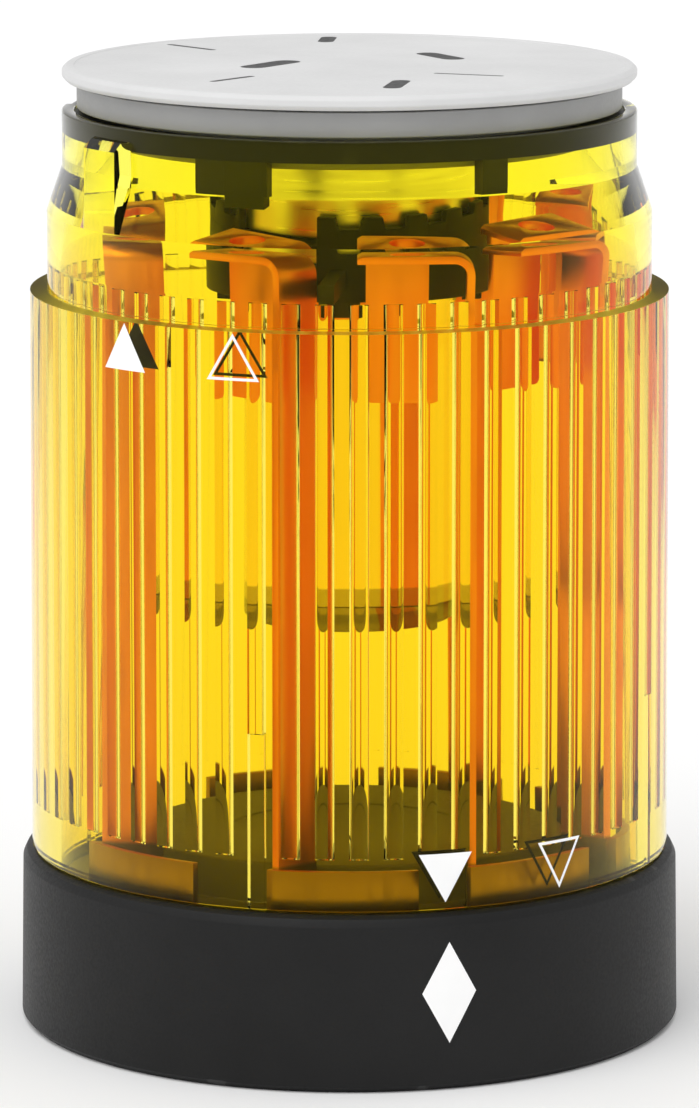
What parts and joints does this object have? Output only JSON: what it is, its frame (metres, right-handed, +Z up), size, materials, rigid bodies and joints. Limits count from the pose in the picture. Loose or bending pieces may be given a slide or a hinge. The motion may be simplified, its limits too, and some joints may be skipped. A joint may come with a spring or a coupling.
{
  "type": "signal tower light element",
  "caption": "Stackable signal-tower light element: yellow ribbed lens, black bayonet ring, copper contacts, light rod and closing cap.",
  "frame": {"origin": "centre of the base ring's bottom face, on the plane it stands on", "axes": "+Z up along the element's axis; -Y is the front, where the ring's mark is 17 degrees towards +X"},
  "size_m": [0.073, 0.073, 0.1059],
  "materials": {
    "lens_yellow": "clear yellow polycarbonate",
    "rod_yellow": "clear amber-yellow polycarbonate",
    "black_plastic": "matt black",
    "floor_grey": "matt dark grey",
    "ring_black": "fine grained black",
    "black_rubber": "matt",
    "contact_copper": "stamped copper",
    "spring_bronze": "spring bronze",
    "sleeve_metal": "brushed",
    "board_green": "solder mask",
    "led_yellow": "phosphor",
    "cover_white": "satin white",
    "collar_grey": "matt grey"
  },
  "bodies": {
    "housing": {"lens": "lens_yellow", "inner_floor": "floor_grey", "seat_gasket": "black_rubber", "light_rod": "rod_yellow", "crown_holder": "black_plastic", "lamp_sleeve": "sleeve_metal", "led_board": "board_green", "led_chip": "led_yellow", "neck_ring": "black_plastic", "contact_strip_1": "contact_copper", "contact_strip_2": "contact_copper", "contact_strip_3": "contact_copper", "contact_strip_4": "contact_copper", "contact_strip_5": "contact_copper", "contact_strip_6": "contact_copper", "contact_strip_7": "contact_copper", "contact_spring_1": "spring_bronze", "contact_spring_2": "spring_bronze", "contact_spring_3": "spring_bronze", "contact_spring_4": "spring_bronze", "contact_spring_5": "spring_bronze", "contact_spring_6": "spring_bronze", "contact_spring_7": "spring_bronze"},
    "turning_ring": {"base_ring": "ring_black"},
    "cap": {"top_cover": "cover_white", "cover_collar": "collar_grey"}
  },
  "joints": [
    {"name": "bayonet_turn", "type": "hinge", "parent": "housing", "child": "turning_ring", "pos_m": [0, 0, 0.0096], "axis": [0, 0, 1], "range_deg": [0, 22.5]},
    {"name": "cap_lift", "type": "slide", "parent": "housing", "child": "cap", "axis": [0, 0, 1], "range_m": [0, 0.025]}
  ]
}
